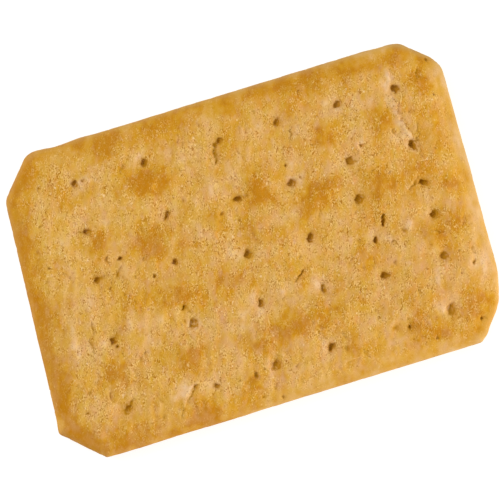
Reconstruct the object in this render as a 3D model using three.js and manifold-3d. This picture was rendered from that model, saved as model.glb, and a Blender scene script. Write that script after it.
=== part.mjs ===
// A graham cracker: one baked sheet of docked dough with four clipped corners.
// Millimetres, +Z up. The origin is under the middle of the cracker, on the flat underside,
// with the long side along X and the docked face on top.

import * as THREE from 'three';
import { mergeVertices } from 'three/addons/utils/BufferGeometryUtils.js';
import Module from 'manifold-3d';

// Driving dimensions of the sheet
const LENGTH = 74.8;
const WIDTH = 49.5;
const RIM_HEIGHT = 4.1; // height of the rounded edge
const CROWN = 1.1; // how much higher the middle of the face bakes than its rim
const CROWN_RUN = 2.6; // distance from the rim over which most of the crown rises
const EDGE_ROLL = 1.4; // how far the edge rounds over, top and bottom
const BAND_CUT = 0.5; // depth of the lower rounding that the oven band presses flat

// The dough was cut a little out of square: at the far side the left end is set in, and the right end out
const LEFT_LEAN = 3.3;
const RIGHT_LEAN = 1.4;

// The clipped corners in order round the outline: legs along the length and the width,
// and the rounding of the bends on the long and the short side
const CORNERS = [
  { end: -1, side: -1, along: 6.4, across: 5.7, roundLong: 0.3, roundShort: 0.4 },
  { end: 1, side: -1, along: 5.2, across: 6.3, roundLong: 1.2, roundShort: 4.8 },
  { end: 1, side: 1, along: 6.1, across: 5.1, roundLong: 1.6, roundShort: 1.8 },
  { end: -1, side: 1, along: 4.9, across: 6.0, roundLong: 0.9, roundShort: 0.9 },
];
const CORNER_STEPS = 4; // pieces in each rounded bend

// Docking pins, column by column along X: where the column starts and ends, and the heights of its pins.
// The columns lean as the sides do, and the two on the right hold one pin more.
const PIN_COLUMNS = [
  { head: -23.4, foot: -25.6, rows: [18.3, 10.4, 2.7, -7.3, -18.3] },
  { head: -11.6, foot: -11.6, rows: [18.3, 9.1, 1.7, -8.4, -18.7] },
  { head: 0.4, foot: -1.5, rows: [18.0, 8.4, -0.4, -8.3, -18.5] },
  { head: 9.9, foot: 8.1, rows: [18.2, 8.4, -0.9, -9.3, -18.5] },
  { head: 19.7, foot: 18.5, rows: [18.0, 8.9, 2.7, -4.2, -9.9, -18.3] },
  { head: 29.6, foot: 27.8, rows: [17.6, 8.5, 2.5, -3.0, -9.9, -18.3] },
];
const MOUTH_RADIUS = 0.8;
const THROAT_RADIUS = 0.6;
const FLOOR_RADIUS = 0.35;
const PIN_DEPTH = 1.1;
const PIN_SIDES = 9;
const PIN_TILT = 0.12; // largest lean of a hole, in radians
const PIN_STRETCH = 0.18; // how much wider or narrower a hole bakes, each way
const PRICK_RADIUS = 0.4; // where a pin reaches the underside
const PRICK_DEPTH = 0.7;
const PRICK_SIDES = 7;

// Relief of the face
const DIMPLE_DEPTH = 0.3; // the sheet is held down round each hole
const DIMPLE_REACH = 2.3;
const BLISTER_HEIGHT = 0.45;
// Blisters rise between the holes: place, half sizes, turn in degrees and share of the full height
const BLISTERS = [
  { x: -13.4, y: 14.9, along: 4.4, across: 2.1, turn: 6, rise: 1.0 },
  { x: 3.7, y: 8.4, along: 2.0, across: 2.4, turn: 0, rise: 0.9 },
  { x: 12.7, y: 5.0, along: 3.6, across: 1.8, turn: 28, rise: 0.8 },
  { x: 22.1, y: 3.6, along: 2.5, across: 2.7, turn: 0, rise: 0.9 },
  { x: 26.2, y: 12.8, along: 1.8, across: 2.3, turn: 0, rise: 0.8 },
  { x: 16.5, y: 13.5, along: 1.9, across: 1.8, turn: 0, rise: 0.6 },
  { x: -22.4, y: 8.1, along: 1.5, across: 2.1, turn: 0, rise: 0.6 },
  { x: -14.4, y: 5.5, along: 2.5, across: 2.5, turn: -30, rise: 0.7 },
  { x: -13.0, y: -3.4, along: 3.1, across: 1.8, turn: 0, rise: 0.9 },
  { x: -19.2, y: -2.9, along: 2.2, across: 1.4, turn: 35, rise: 0.5 },
  { x: -2.4, y: -4.0, along: 2.6, across: 1.6, turn: -10, rise: 0.6 },
  { x: -26.4, y: -12.7, along: 2.2, across: 2.0, turn: 0, rise: 0.7 },
  { x: -13.9, y: -13.4, along: 3.2, across: 2.2, turn: 10, rise: 0.8 },
  { x: 4.5, y: -13.7, along: 7.6, across: 1.8, turn: 1, rise: 1.0 },
  { x: 22.5, y: -15.5, along: 3.0, across: 2.4, turn: -20, rise: 0.5 },
];
const WAVE_HEIGHT = 0.12; // slow unevenness of the whole sheet
const WAVE_LENGTHS = [17, 23, 31];

// Mesh density of the sheet
const STEPS_ALONG = 52;
const STEPS_ACROSS = 35;
const STEPS_DOWN = 4;
const EDGE_CROWDING = 0.3; // how much closer the steps lie at the edges

const BAKE_SEED = 7;
const CRUST = { color: 0xdba550, roughness: 0.85, metalness: 0 };

const { Manifold, Mesh: ManifoldMesh } = await startManifold();

async function startManifold() {
  const wasm = await Module();
  wasm.setup();
  return wasm;
}

// A repeatable stream of numbers from 0 to 1
function seededRandom(seed) {
  let state = seed;
  return () => {
    state = (state * 1664525 + 1013904223) % 4294967296;
    return state / 4294967296;
  };
}

// X of the left or right end at one height of Y; its sharper corner reaches the full length
function endAt(end, y) {
  const lean = end < 0 ? LEFT_LEAN : RIGHT_LEAN;
  const sharper = CORNERS.find((corner) => corner.end === end && corner.side === end);
  const reachY = end * (WIDTH / 2 - sharper.across);
  return (end * LENGTH) / 2 + ((y - reachY) * lean) / WIDTH;
}

// The clipped outline as points, with every bend rounded
function outlinePoints() {
  const bends = CORNERS.flatMap((corner) => {
    const longY = (corner.side * WIDTH) / 2;
    const shortY = corner.side * (WIDTH / 2 - corner.across);
    const onLongSide = {
      bend: new THREE.Vector2(endAt(corner.end, longY) - corner.end * corner.along, longY),
      round: corner.roundLong,
    };
    const onShortSide = {
      bend: new THREE.Vector2(endAt(corner.end, shortY), shortY),
      round: corner.roundShort,
    };
    return corner.end === corner.side ? [onShortSide, onLongSide] : [onLongSide, onShortSide];
  });
  const shape = new THREE.Shape();
  bends.forEach(({ bend, round }, i) => {
    const before = bends[(i + bends.length - 1) % bends.length].bend;
    const after = bends[(i + 1) % bends.length].bend;
    const enter = bend.clone().add(before.clone().sub(bend).setLength(round));
    const leave = bend.clone().add(after.clone().sub(bend).setLength(round));
    if (i === 0) shape.moveTo(enter.x, enter.y);
    else shape.lineTo(enter.x, enter.y);
    shape.quadraticCurveTo(bend.x, bend.y, leave.x, leave.y);
  });
  shape.closePath();
  return shape.getPoints(CORNER_STEPS);
}

// Left and right ends of the outline at one height of Y
function spanAt(outline, y) {
  const inside = THREE.MathUtils.clamp(y, -WIDTH / 2 + 1e-3, WIDTH / 2 - 1e-3);
  const crossings = outline.flatMap((start, i) => {
    const stop = outline[(i + 1) % outline.length];
    if (start.y > inside === stop.y > inside) return [];
    return [start.x + ((inside - start.y) * (stop.x - start.x)) / (stop.y - start.y)];
  });
  return [Math.min(...crossings), Math.max(...crossings)];
}

// Distance from a point of the face to the nearest edge of the outline
function distanceToEdge(outline, x, y) {
  const point = new THREE.Vector3(x, y, 0);
  const nearest = new THREE.Vector3();
  const distances = outline.map((start, i) => {
    const stop = outline[(i + 1) % outline.length];
    const side = new THREE.Line3(
      new THREE.Vector3(start.x, start.y, 0),
      new THREE.Vector3(stop.x, stop.y, 0),
    );
    return side.closestPointToPoint(point, true, nearest).distanceTo(point);
  });
  return Math.min(...distances);
}

// Where the docking pins struck the dough
function pinPlaces() {
  return PIN_COLUMNS.flatMap(({ head, foot, rows }) =>
    rows.map((y) => new THREE.Vector2(THREE.MathUtils.mapLinear(y, rows[0], rows.at(-1), head, foot), y)),
  );
}

function blisterRise(x, y) {
  const rises = BLISTERS.map((blister) => {
    const from = new THREE.Vector2(x - blister.x, y - blister.y);
    from.rotateAround(new THREE.Vector2(), -THREE.MathUtils.degToRad(blister.turn));
    const reach = (from.x / blister.along) ** 2 + (from.y / blister.across) ** 2;
    return blister.rise * Math.exp(-reach);
  });
  return BLISTER_HEIGHT * Math.max(...rises);
}

function dimpleFall(pins, x, y) {
  const falls = pins.map((pin) => {
    const away = Math.hypot(x - pin.x, y - pin.y) / DIMPLE_REACH;
    return Math.exp(-away * away);
  });
  return DIMPLE_DEPTH * Math.max(...falls);
}

function waveRise(x, y) {
  const waves = WAVE_LENGTHS.map((length, i) => Math.sin((2 * Math.PI * (x + i * y)) / length + i));
  return (WAVE_HEIGHT * waves.reduce((sum, wave) => sum + wave, 0)) / WAVE_LENGTHS.length;
}

// Height of the baked face, level with the rim at its edge
function faceHeight(outline, pins, x, y) {
  const inward = Math.max(0, distanceToEdge(outline, x, y) - EDGE_ROLL);
  const risen = 1 - Math.exp(-inward / CROWN_RUN);
  const relief = blisterRise(x, y) - dimpleFall(pins, x, y) + waveRise(x, y);
  return RIM_HEIGHT + risen * (CROWN + relief);
}

// A step from -1 to 1, moved so that the steps crowd together towards both ends
function crowded(step) {
  return step * (1 + EDGE_CROWDING * (1 - step * step));
}

// The sheet of dough: a finely divided box drawn out to the outline, with a rounded edge and a risen face
function doughGeometry(outline, pins) {
  const sheet = new THREE.BoxGeometry(2, 2, 2, STEPS_ALONG, STEPS_ACROSS, STEPS_DOWN);
  const position = sheet.getAttribute('position');
  const unit = new THREE.Vector3();
  for (let i = 0; i < position.count; i++) {
    unit.fromBufferAttribute(position, i);
    const turn = (unit.z * Math.PI) / 2;
    const roll = EDGE_ROLL * (1 - Math.cos(turn));
    const along = crowded(unit.x);
    const across = crowded(unit.y);
    const [left, right] = spanAt(outline, (across * WIDTH) / 2);
    const x = THREE.MathUtils.lerp(left + roll, right - roll, (along + 1) / 2);
    const y = across * (WIDTH / 2 - roll);
    const rimZ = THREE.MathUtils.lerp(-BAND_CUT, RIM_HEIGHT, (Math.sin(turn) + 1) / 2);
    position.setXYZ(i, x, y, unit.z === 1 ? faceHeight(outline, pins, x, y) : rimZ);
  }
  return sheet;
}

// A closed geometry as a solid that can be joined and cut
function solidFrom(geometry) {
  const bare = geometry.clone().deleteAttribute('normal').deleteAttribute('uv');
  const merged = mergeVertices(bare);
  return new Manifold(
    new ManifoldMesh({
      numProp: 3,
      vertProperties: merged.getAttribute('position').array,
      triVerts: new Uint32Array(merged.getIndex().array),
    }),
  );
}

function geometryFrom(solid) {
  const { vertProperties, triVerts } = solid.getMesh();
  const geometry = new THREE.BufferGeometry();
  geometry.setAttribute('position', new THREE.BufferAttribute(vertProperties, 3));
  geometry.setIndex(new THREE.BufferAttribute(triVerts, 1));
  geometry.computeVertexNormals();
  return geometry;
}

// The hole that one pin leaves: a flared mouth, a narrowing throat and a small floor
function pinSolid(place, mouthZ, random) {
  const overlap = 1.5;
  const profile = [
    new THREE.Vector2(0, -PIN_DEPTH),
    new THREE.Vector2(FLOOR_RADIUS, -PIN_DEPTH),
    new THREE.Vector2(THROAT_RADIUS, -PIN_DEPTH / 3),
    new THREE.Vector2(MOUTH_RADIUS, 0),
    new THREE.Vector2(MOUTH_RADIUS, overlap),
    new THREE.Vector2(0, overlap),
  ];
  const hole = new THREE.LatheGeometry(profile, PIN_SIDES);
  hole.rotateX(Math.PI / 2);
  const stretch = () => 1 + (random() - 0.5) * 2 * PIN_STRETCH;
  hole.scale(stretch(), stretch(), 1);
  hole.rotateZ(random() * Math.PI);
  hole.rotateX((random() - 0.5) * 2 * PIN_TILT);
  hole.rotateY((random() - 0.5) * 2 * PIN_TILT);
  hole.translate(place.x, place.y, mouthZ);
  return solidFrom(hole);
}

// The small mark where the pin's tip came through to the band
function prickSolid(place) {
  const profile = [
    new THREE.Vector2(0, -PRICK_DEPTH),
    new THREE.Vector2(PRICK_RADIUS, -PRICK_DEPTH),
    new THREE.Vector2(PRICK_RADIUS, 0),
    new THREE.Vector2(0, PRICK_DEPTH),
  ];
  const prick = new THREE.LatheGeometry(profile, PRICK_SIDES);
  prick.rotateX(Math.PI / 2);
  prick.translate(place.x, place.y, 0);
  return solidFrom(prick);
}

// The oven band: all that lies below the underside
function bandSolid() {
  const depth = 4 * BAND_CUT;
  const band = new THREE.BoxGeometry(2 * LENGTH, 2 * WIDTH, depth);
  band.translate(0, 0, -depth / 2);
  return solidFrom(band);
}

// Sets the origin under the middle of the geometry, level with its lowest face
function centred(geometry) {
  geometry.computeBoundingBox();
  const middle = geometry.boundingBox.getCenter(new THREE.Vector3());
  return geometry.translate(-middle.x, -middle.y, -geometry.boundingBox.min.z);
}

function crackerMesh() {
  const random = seededRandom(BAKE_SEED);
  const outline = outlinePoints();
  const pins = pinPlaces();
  const holes = pins.map((pin) => pinSolid(pin, faceHeight(outline, pins, pin.x, pin.y), random));
  const pricks = pins.map(prickSolid);
  const cuts = [...holes, ...pricks].reduce((joined, cut) => joined.add(cut), bandSolid());
  const baked = solidFrom(doughGeometry(outline, pins)).subtract(cuts);
  const mesh = new THREE.Mesh(centred(geometryFrom(baked)), new THREE.MeshStandardMaterial(CRUST));
  mesh.name = 'cracker';
  return mesh;
}

const part = new THREE.Group();
part.add(crackerMesh());

export default part;
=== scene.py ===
import math
import random

import bmesh
import bpy
import mathutils
import numpy as np
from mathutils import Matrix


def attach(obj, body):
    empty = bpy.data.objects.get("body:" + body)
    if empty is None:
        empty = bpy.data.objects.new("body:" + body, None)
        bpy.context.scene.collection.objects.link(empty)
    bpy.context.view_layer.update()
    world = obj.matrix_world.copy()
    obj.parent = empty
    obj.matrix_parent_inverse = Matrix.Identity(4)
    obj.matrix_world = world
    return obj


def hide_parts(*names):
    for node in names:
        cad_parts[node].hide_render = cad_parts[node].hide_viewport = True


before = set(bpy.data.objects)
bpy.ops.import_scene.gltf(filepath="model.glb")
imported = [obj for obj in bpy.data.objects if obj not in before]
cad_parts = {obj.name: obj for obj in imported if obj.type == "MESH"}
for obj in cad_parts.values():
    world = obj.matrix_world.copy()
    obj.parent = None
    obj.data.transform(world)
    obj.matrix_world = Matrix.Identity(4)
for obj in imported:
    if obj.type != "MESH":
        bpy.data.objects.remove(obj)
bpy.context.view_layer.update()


# The dough sheet
# A sheet of wheat dough, rolled flat and stamped out by a cutter that clips the four corners.
# The soft sheet is dragged a little out of square, and its edge rounds over as it bakes.

# The cracker's sizes are in millimetres, and MM is one millimetre in metres
MM = 0.001
RIM_HEIGHT = 4.1
TOP_ROLL = 1.4
TOP_STEPS = 6
FOOT_ROLL = 0.5
FOOT_STEPS = 3
BEND_STEPS = 5
# How near a part of a mesh lies to the place where it is picked
NEAR = 0.05

# Each corner in millimetres: its place before clipping, what is cut off along and across the sheet,
# and how far the bends on its long and short side are rounded
SHEET_CORNERS = (
    {"x": -37.69, "y": -24.83, "along": 6.4, "across": 5.7, "round_long": 0.3, "round_short": 0.4},
    {"x": 36.22, "y": -24.83, "along": 5.4, "across": 6.3, "round_long": 0.3, "round_short": 4.8},
    {"x": 37.62, "y": 24.69, "along": 6.1, "across": 5.1, "round_long": 1.6, "round_short": 1.8},
    {"x": -34.41, "y": 24.69, "along": 4.9, "across": 6.0, "round_long": 0.9, "round_short": 0.9},
)


def pick(kind, wanted):
    """Selects, in edit mode, the verts, edges or faces that pass a test of their middle."""
    mesh = bmesh.from_edit_mesh(bpy.context.object.data)
    bpy.ops.mesh.select_mode(type=kind)
    bpy.ops.mesh.select_all(action="DESELECT")
    for item in {"VERT": mesh.verts, "EDGE": mesh.edges, "FACE": mesh.faces}[kind]:
        if kind == "VERT":
            middle = item.co
        elif kind == "EDGE":
            middle = (item.verts[0].co + item.verts[1].co) / 2
        else:
            middle = item.calc_center_median()
        if wanted(middle):
            item.select_set(True)
    bmesh.update_edit_mesh(bpy.context.object.data)


def clipped_bends(corner, neighbour):
    """The two bends of a clipped corner, on its long side and on the short side towards a neighbour."""
    end = math.copysign(1, corner["x"])
    on_long = (corner["x"] - end * corner["along"], corner["y"])
    share = corner["across"] / abs(neighbour["y"] - corner["y"])
    on_short = (
        corner["x"] + share * (neighbour["x"] - corner["x"]),
        corner["y"] + share * (neighbour["y"] - corner["y"]),
    )
    return on_long, on_short


bpy.ops.object.select_all(action="DESELECT")
bpy.ops.mesh.primitive_plane_add(size=2 * MM)
cracker = bpy.context.object
cracker.name = "cracker_crust"
bpy.ops.object.mode_set(mode="EDIT")
for corner in SHEET_CORNERS:
    start_x = math.copysign(MM, corner["x"])
    start_y = math.copysign(MM, corner["y"])
    pick("VERT", lambda co: math.dist(co.xy, (start_x, start_y)) < NEAR * MM)
    bpy.ops.transform.translate(value=(corner["x"] * MM - start_x, corner["y"] * MM - start_y, 0))

outline = []
for corner, neighbour in zip(SHEET_CORNERS, reversed(SHEET_CORNERS)):
    on_long, on_short = clipped_bends(corner, neighbour)
    outward = mathutils.Vector(
        (
            math.copysign(on_long[1] - on_short[1], corner["x"]),
            math.copysign(on_long[0] - on_short[0], corner["y"]),
            0,
        )
    ).normalized()
    bpy.ops.mesh.select_all(action="SELECT")
    bpy.ops.mesh.bisect(
        plane_co=(on_long[0] * MM, on_long[1] * MM, 0),
        plane_no=outward,
        clear_outer=True,
    )
    turning_left = corner["x"] * corner["y"] > 0
    outline += [on_short, on_long] if turning_left else [on_long, on_short]
    for bend, rounding in ((on_long, corner["round_long"]), (on_short, corner["round_short"])):
        pick("VERT", lambda co: math.dist(co.xy, (bend[0] * MM, bend[1] * MM)) < NEAR * MM)
        bpy.ops.mesh.bevel(offset=rounding * MM, segments=BEND_STEPS, affect="VERTICES")

bpy.ops.mesh.select_all(action="SELECT")
bpy.ops.mesh.extrude_region_move(TRANSFORM_OT_translate={"value": (0, 0, RIM_HEIGHT * MM)})
bpy.ops.mesh.select_all(action="SELECT")
bpy.ops.mesh.normals_make_consistent(inside=False)
pick("EDGE", lambda co: co.z > (RIM_HEIGHT - NEAR) * MM)
bpy.ops.mesh.bevel(offset=TOP_ROLL * MM, segments=TOP_STEPS, affect="EDGES")
pick("EDGE", lambda co: co.z < NEAR * MM)
bpy.ops.mesh.bevel(offset=FOOT_ROLL * MM, segments=FOOT_STEPS, affect="EDGES")
bpy.ops.object.mode_set(mode="OBJECT")


# The docking holes
# Rows of blunt pins pin the sheet together, so that it can't puff up like a pillow.
# Each hole bakes half shut with a torn mouth, and the pin's tip leaves a small prick underneath.
# The docking roller drags its pins as it turns, so they enter ahead of the foot of the hole.

PIN_SIDES = 20
PIN_RADIUS = 0.5
PIN_FOOT = 0.26
PIN_HEAD = 0.8
PIN_FLARE = 1.25
PIN_TEAR = 0.14
PIN_LEAN = 0.15
PIN_SEED = 5
PIN_ENTRY = (0.15, -0.25)
PIN_DRAG = (-0.28, 0.2, 0)
# The share of a pin's depth below which it is dragged
DRAGGED_FROM = 0.4
PRICK_WIDTH = 0.8
PRICK_DEPTH = 0.7

# Each hole by column: its place, length, width, turn in degrees and depth
HOLES = (
    (-23.4, 18.2, 0.9, 0.75, 80, 0.95),
    (-23.85, 10.3, 1.5, 1.3, 160, 0.65),
    (-24.5, 2.6, 1.2, 1.0, 10, 0.6),
    (-24.9, -7.35, 1.7, 0.85, 115, 0.7),
    (-25.65, -18.3, 1.7, 1.0, 15, 0.55),
    (-12.0, 18.2, 1.5, 1.3, 50, 0.8),
    (-10.95, 9.1, 1.9, 0.85, 42, 0.65),
    (-11.95, 1.65, 1.2, 1.15, 0, 0.72),
    (-11.95, -8.35, 2.0, 1.4, 80, 0.5),
    (-11.4, -18.9, 1.3, 0.8, 130, 0.6),
    (0.25, 17.95, 1.4, 0.95, 25, 0.6),
    (0.45, 8.3, 1.7, 1.0, 170, 0.75),
    (-0.6, -0.45, 1.8, 1.3, 85, 0.75),
    (-0.9, -8.35, 1.6, 0.8, 75, 0.72),
    (-1.4, -18.5, 2.0, 1.6, 60, 0.48),
    (9.85, 18.15, 1.6, 1.4, 30, 0.55),
    (9.2, 8.25, 1.5, 1.2, 40, 0.65),
    (9.6, -0.85, 1.9, 1.2, 65, 0.8),
    (9.25, -9.2, 2.2, 0.9, 85, 0.5),
    (7.7, -18.35, 1.6, 1.3, 60, 0.85),
    (19.75, 17.95, 1.6, 1.4, 0, 0.65),
    (19.15, 8.9, 1.8, 1.5, 60, 0.55),
    (18.75, 2.7, 2.0, 1.8, 0, 0.6),
    (19.35, -4.2, 1.3, 0.9, 90, 0.75),
    (19.1, -9.95, 2.0, 1.2, 175, 0.7),
    (20.5, -18.9, 1.0, 0.75, 110, 0.65),
    (29.2, 17.6, 1.8, 1.5, 115, 0.95),
    (29.25, 8.55, 1.9, 1.4, 95, 0.88),
    (29.2, 2.35, 2.0, 1.0, 150, 0.75),
    (29.35, -3.05, 1.8, 1.4, 20, 0.75),
    (28.9, -9.85, 1.7, 1.6, 0, 0.5),
    (27.5, -18.4, 2.6, 1.4, 75, 0.38),
)

# One pin a millimetre wide and a millimetre deep, with a wider head that stands over the face
bpy.ops.object.select_all(action="DESELECT")
bpy.ops.mesh.primitive_cone_add(
    vertices=PIN_SIDES,
    radius1=PIN_FOOT * MM,
    radius2=PIN_RADIUS * MM,
    depth=MM,
    location=(0, 0, -MM / 2),
)
pin = bpy.context.object
bpy.ops.object.transform_apply(location=True)
bpy.ops.object.mode_set(mode="EDIT")
pick("FACE", lambda co: co.length < NEAR * MM)
bpy.ops.mesh.extrude_region_move(TRANSFORM_OT_translate={"value": (0, 0, PIN_HEAD * MM)})
bpy.ops.transform.resize(value=(PIN_FLARE, PIN_FLARE, 1))
bpy.ops.object.mode_set(mode="OBJECT")

bake = random.Random(PIN_SEED)


def strike(place, size, turn, drag=(0, 0, 0), tip=0):
    """A copy of the pin at a place, stretched to a size, dragged at its foot and torn at its own seed."""
    bpy.ops.object.select_all(action="DESELECT")
    pin.select_set(True)
    bpy.context.view_layer.objects.active = pin
    bpy.ops.object.duplicate(linked=False)
    struck = bpy.context.object
    struck.location = [part * MM for part in place]
    struck.scale = size
    struck.rotation_euler = (
        tip + bake.uniform(-PIN_LEAN, PIN_LEAN),
        bake.uniform(-PIN_LEAN, PIN_LEAN),
        math.radians(turn),
    )
    bpy.ops.object.transform_apply(location=True, rotation=True, scale=True)
    bpy.ops.object.mode_set(mode="EDIT")
    pick("VERT", lambda co: co.z < (place[2] - DRAGGED_FROM * size[2]) * MM)
    bpy.ops.transform.translate(value=[part * MM for part in drag])
    bpy.ops.mesh.select_all(action="SELECT")
    bpy.ops.transform.vertex_random(offset=PIN_TEAR * MM, seed=bake.randrange(1000))
    bpy.ops.object.mode_set(mode="OBJECT")
    return struck


pins = []
for x, y, length, width, turn, depth in HOLES:
    mouth = (x + PIN_ENTRY[0], y + PIN_ENTRY[1], RIM_HEIGHT)
    pins.append(strike(mouth, (length, width, depth), turn, drag=PIN_DRAG))
    pins.append(strike((x, y, 0), (PRICK_WIDTH, PRICK_WIDTH, PRICK_DEPTH), turn, tip=math.pi))
bpy.ops.object.select_all(action="DESELECT")
for struck in pins:
    struck.select_set(True)
bpy.context.view_layer.objects.active = pins[0]
bpy.ops.object.join()
docker = bpy.context.object

bpy.ops.object.select_all(action="DESELECT")
cracker.select_set(True)
bpy.context.view_layer.objects.active = cracker
docking = cracker.modifiers.new("docking", "BOOLEAN")
docking.operation = "DIFFERENCE"
docking.solver = "MANIFOLD"
docking.object = docker
bpy.ops.object.modifier_apply(modifier="docking")
for tool in (pin, docker):
    bpy.data.objects.remove(tool)


# The baked skin
# One unbroken skin runs over the face, round the edge and under the sheet, and down into every hole.
# Its fine, even mesh takes the blisters, hollows, tears and crumb that baking gives it.

SKIN_GRAIN = 0.19
SOFTENING = 0.5
SOFTENING_ROUNDS = 3
BAND_REACH = 0.02
BAND_FACES = 0.05

skin = cracker.modifiers.new("skin", "REMESH")
skin.mode = "VOXEL"
skin.voxel_size = SKIN_GRAIN * MM
skin.use_smooth_shade = True
bpy.ops.object.modifier_apply(modifier="skin")

# The mouths of the holes bake soft
bpy.ops.object.mode_set(mode="EDIT")
bpy.ops.mesh.select_all(action="SELECT")
bpy.ops.mesh.vertices_smooth(factor=SOFTENING, repeat=SOFTENING_ROUNDS)
# The underside lies flat against the oven band, so it needs only a share of its faces
pick("FACE", lambda co: co.z < BAND_REACH * MM)
bpy.ops.mesh.decimate(ratio=BAND_FACES)
bpy.ops.object.mode_set(mode="OBJECT")


# The blisters and hollows
# Between the holes steam lifts low blisters, which brown first. At each hole the sheet is held down.
# They are drawn in the skin, together with the crown of the face, as heights over the flat sheet.

CROWN = 1.1
CROWN_RUN = 2.6
SIDE_BLENDING = 0.6
BLISTER_HEIGHT = 0.45
HOLLOW_DEPTH = 0.3
HOLLOW_REACH = 2.2

# Where the cut edge swells or shrinks: place, reach, and how far it moves along and across
EDGE_SWELLS = (
    (-27.6, 24.7, 1.5, 0.0, 0.16),
    (-25.5, -24.8, 5.0, 0.0, -0.08),
    (-11.5, -24.8, 3.5, 0.0, -0.08),
    (37.0, 3.5, 3.5, 0.06, 0.0),
    (-37.4, -18.6, 1.0, -0.14, -0.06),
    (-24.3, 24.7, 1.8, 0.0, -0.1),
    (-20.4, 24.7, 1.5, 0.0, 0.1),
    (29.0, 24.7, 2.2, 0.0, -0.14),
    (31.9, 24.3, 0.9, 0.12, 0.06),
    (35.2, -19.6, 1.8, 0.16, -0.08),
    (32.1, -23.8, 0.9, 0.14, -0.12),
)
# Each blister: place, half sizes along and across, turn, share of the full rise, browning
BLISTERS = (
    (-14.5, -11.0, 4.5, 3.0, 0, 0.0, 0.14),
    (-17.5, -21.0, 6.0, 3.0, 0, 0.0, 0.12),
    (22.5, -21.0, 4.0, 2.5, 0, 0.0, 0.14),
    (-12.6, 14.8, 3.6, 1.7, 4, 1.0, 1.0),
    (4.0, 8.5, 2.1, 2.4, 0, 0.9, 1.0),
    (12.9, 4.9, 3.2, 1.6, 25, 0.8, 0.8),
    (22.4, 3.1, 2.9, 2.8, 0, 0.9, 0.65),
    (25.8, 12.8, 1.8, 2.3, 0, 0.8, 0.85),
    (16.5, 13.4, 1.9, 1.7, 0, 0.6, 0.75),
    (-22.4, 7.7, 1.4, 1.8, 0, 0.6, 0.7),
    (-14.2, 5.7, 2.9, 2.6, -30, 0.7, 0.75),
    (-10.3, 4.3, 1.8, 1.4, 0, 0.3, 0.6),
    (-13.0, -3.4, 2.6, 2.0, 0, 0.9, 0.85),
    (-19.6, -3.2, 2.0, 1.4, 30, 0.5, 0.25),
    (-2.1, -4.2, 2.8, 1.6, -10, 0.6, 0.5),
    (-25.9, -12.8, 1.9, 1.9, 0, 0.7, 0.9),
    (-13.8, -13.4, 3.4, 2.3, 10, 0.8, 0.65),
    (-1.6, -14.3, 3.0, 1.9, 0, 0.8, 0.75),
    (4.6, -13.6, 4.8, 2.1, 5, 1.0, 0.5),
    (8.8, -14.2, 3.2, 1.8, 0, 0.7, 0.7),
    (5.0, -3.6, 2.6, 2.0, 0, 0.1, 0.3),
    (9.6, -16.0, 1.8, 1.4, 0, 0.2, 0.5),
    (17.2, -6.2, 1.6, 1.2, 0, 0.2, 0.4),
    (12.4, 13.6, 1.4, 1.8, 0, 0.2, 0.25),
    (22.5, -15.5, 3.0, 2.4, -20, 0.5, 0.4),
    (-16.8, 21.6, 2.0, 1.6, 0, 0.3, 0.75),
    (-8.5, 22.3, 2.5, 1.5, 0, 0.2, 0.2),
    (2.8, 21.5, 1.8, 2.0, 0, 0.2, 0.5),
    (11.2, 23.3, 3.6, 1.8, 0, 0.3, 0.6),
    (18.6, 22.4, 4.0, 2.1, 0, 0.3, 0.55),
    (25.2, 22.2, 2.6, 1.6, 0, 0.2, 0.35),
    (33.0, 17.6, 1.5, 2.1, 0, 0.2, 0.8),
    (33.4, 1.6, 1.8, 2.2, 0, 0.2, 0.55),
    (32.6, 13.0, 2.0, 1.6, 0, 0.2, 0.45),
    (29.0, 2.6, 2.8, 1.8, 0, 0.2, 0.7),
    (30.2, -5.8, 3.0, 2.8, 0, 0.2, 0.4),
    (31.6, -18.6, 2.2, 2.6, 0, 0.2, 0.5),
    (25.6, -20.4, 3.0, 1.9, 0, 0.2, 0.55),
    (21.2, -19.2, 2.0, 1.7, 0, 0.2, 0.5),
    (-5.0, -20.1, 1.6, 1.9, 0, 0.2, 0.8),
    (-14.4, -22.3, 2.6, 1.6, 0, 0.2, 0.55),
    (-25.8, -22.4, 3.2, 1.8, 0, 0.2, 0.5),
    (-33.4, 9.6, 1.8, 4.5, -3, 0.0, 0.35),
    (-34.2, -1.4, 1.6, 5.0, -3, 0.0, 0.35),
    (-34.8, -13.0, 1.8, 4.5, -3, 0.0, 0.4),
    (-31.2, 21.2, 3.6, 2.0, 50, 0.0, 0.5),
    (-34.0, -20.4, 3.0, 1.8, -40, 0.0, 0.5),
    (35.2, 20.4, 1.8, 2.0, 0, 0.0, 0.45),
    (31.0, -23.2, 2.6, 1.6, 0, 0.0, 0.4),
    (2.2, 3.5, 2.3, 1.7, 0, 0.3, 0.4),
    (-2.8, 6.6, 2.0, 1.6, 0, 0.2, 0.35),
    (-25.0, 15.2, 2.6, 1.2, 0, 0.1, 0.3),
    (1.6, 18.4, 2.0, 1.6, 0, 0.1, 0.25),
    (32.4, 8.0, 2.2, 2.6, 0, 0.1, 0.35),
    (33.6, -20.6, 1.6, 2.2, 30, 0.0, 0.4),
    (11.6, -18.8, 2.4, 1.7, 0, 0.1, 0.3),
    (-20.5, -19.8, 3.2, 1.6, 0, 0.1, 0.3),
    (30.2, 22.2, 2.4, 1.5, 0, 0.0, 0.4),
    (7.2, 9.4, 1.6, 1.8, 0, 0.1, 0.3),
    (13.4, 19.6, 2.4, 2.2, 0, 0.0, 0.25),
    (18.6, -8.6, 1.2, 1.4, 0, 0.0, 0.2),
)


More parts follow.
